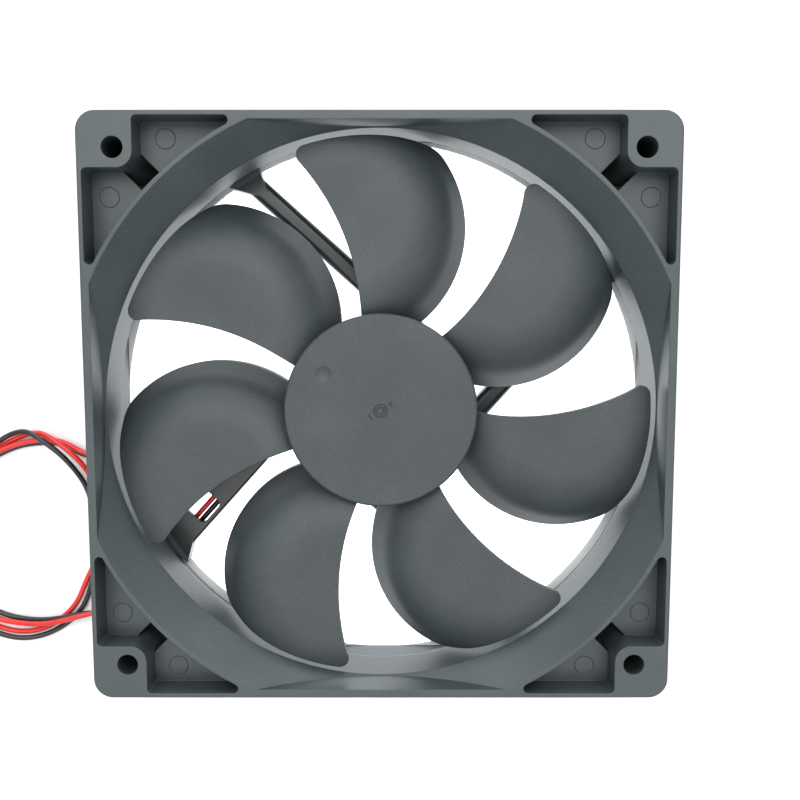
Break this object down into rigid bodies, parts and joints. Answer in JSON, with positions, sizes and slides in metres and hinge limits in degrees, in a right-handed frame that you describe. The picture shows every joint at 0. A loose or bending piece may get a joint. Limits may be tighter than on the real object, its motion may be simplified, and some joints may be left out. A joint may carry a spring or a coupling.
{
  "type": "case fan",
  "caption": "Square axial case fan with a curved-blade impeller, motor on struts behind it, corner screw holes and a two-wire lead with a small plug.",
  "frame": {"origin": "centre of the frame's rear face, on the impeller's axis", "axes": "+Z along the impeller's axis towards the intake face; X and Y along the sides of the square frame, with the lead leaving the -X side"},
  "size_m": [0.1694, 0.1194, 0.025],
  "materials": {
    "frame_plastic": "matte",
    "impeller_plastic": "matte",
    "tube_brass": "satin",
    "sintered_bronze": "matte",
    "nylon": "matte",
    "plug_rubber": "matte",
    "label_film": "satin",
    "lamination_steel": "satin",
    "bobbin_plastic": "matte",
    "enamelled_copper": "gloss",
    "tinned_pins": "gloss",
    "board_laminate": "gloss",
    "chip_epoxy": "matte",
    "capacitor_ceramic": "satin",
    "solder": "gloss",
    "red_insulation": "gloss",
    "black_insulation": "gloss",
    "plug_nylon": "satin",
    "contact_tin": "satin",
    "yoke_steel": "satin",
    "bonded_magnet": "matte",
    "bush_brass": "satin",
    "shaft_steel": "gloss"
  },
  "bodies": {
    "frame": {"frame": "frame_plastic", "bearing_tube": "tube_brass", "sleeve_bearing": "sintered_bronze", "upper_washer": "nylon", "lower_washer": "nylon", "thrust_pad": "nylon", "end_plug": "plug_rubber", "rear_label": "label_film", "stator_core": "lamination_steel", "upper_insulator": "bobbin_plastic", "lower_insulator": "bobbin_plastic", "terminal_pins": "tinned_pins", "circuit_board": "board_laminate", "driver_chip": "chip_epoxy", "hall_sensor": "chip_epoxy", "capacitor": "capacitor_ceramic", "diode": "chip_epoxy", "resistor": "chip_epoxy", "solder_joints": "solder", "red_wire_inside": "red_insulation", "black_wire_inside": "black_insulation", "red_lead": "red_insulation", "black_lead": "black_insulation", "plug_housing": "plug_nylon", "plug_contacts": "contact_tin", "coil_1": "enamelled_copper", "coil_2": "enamelled_copper", "coil_3": "enamelled_copper", "coil_4": "enamelled_copper"},
    "rotor": {"impeller": "impeller_plastic", "rotor_yoke": "yoke_steel", "ring_magnet": "bonded_magnet", "shaft_bush": "bush_brass", "shaft": "shaft_steel", "snap_ring": "nylon", "oil_slinger": "plug_rubber"}
  },
  "joints": [
    {"name": "rotor_spin", "type": "hinge", "parent": "frame", "child": "rotor", "pos_m": [0, 0, 0.0084], "axis": [0, 0, 1], "continuous": true}
  ]
}
